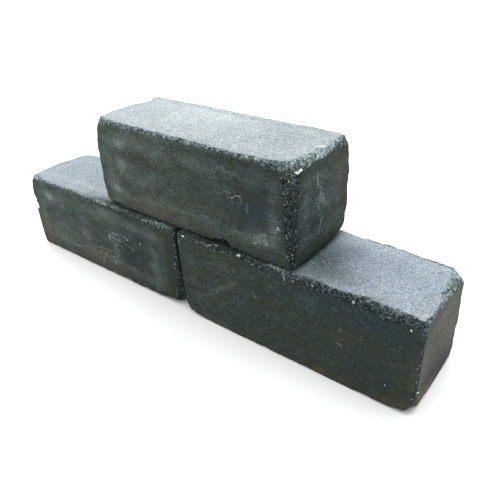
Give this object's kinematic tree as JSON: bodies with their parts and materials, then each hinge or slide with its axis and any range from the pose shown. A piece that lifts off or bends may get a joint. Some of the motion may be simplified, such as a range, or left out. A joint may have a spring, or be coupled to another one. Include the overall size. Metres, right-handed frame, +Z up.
{
  "type": "dry stack of tumbled concrete walling blocks",
  "caption": "A short dry-laid stack of tumbled charcoal-grey concrete walling blocks with rounded, broken arrises, the upper block laid across the end joint of the lower ones",
  "frame": {"origin": "middle of the whole stack's outline in plan, on the ground that the lower blocks stand on", "axes": "+X along the course, towards the lower right block; -Y the front of the wall; +Z up"},
  "size_m": [0.658, 0.1284, 0.2443],
  "materials": {
    "charcoal_concrete": "matte"
  },
  "bodies": {
    "lower_right": {"lower_right_block": "charcoal_concrete"},
    "lower_left": {"lower_left_block": "charcoal_concrete"},
    "upper": {"top_block": "charcoal_concrete"}
  },
  "joints": [
    {"name": "upper_lift", "type": "slide", "parent": "lower_right", "child": "upper", "axis": [0, 0, 1], "range_m": [0, 0.15]},
    {"name": "left_draw", "type": "slide", "parent": "lower_right", "child": "lower_left", "axis": [-1, 0, 0], "range_m": [0, 0.16]}
  ]
}
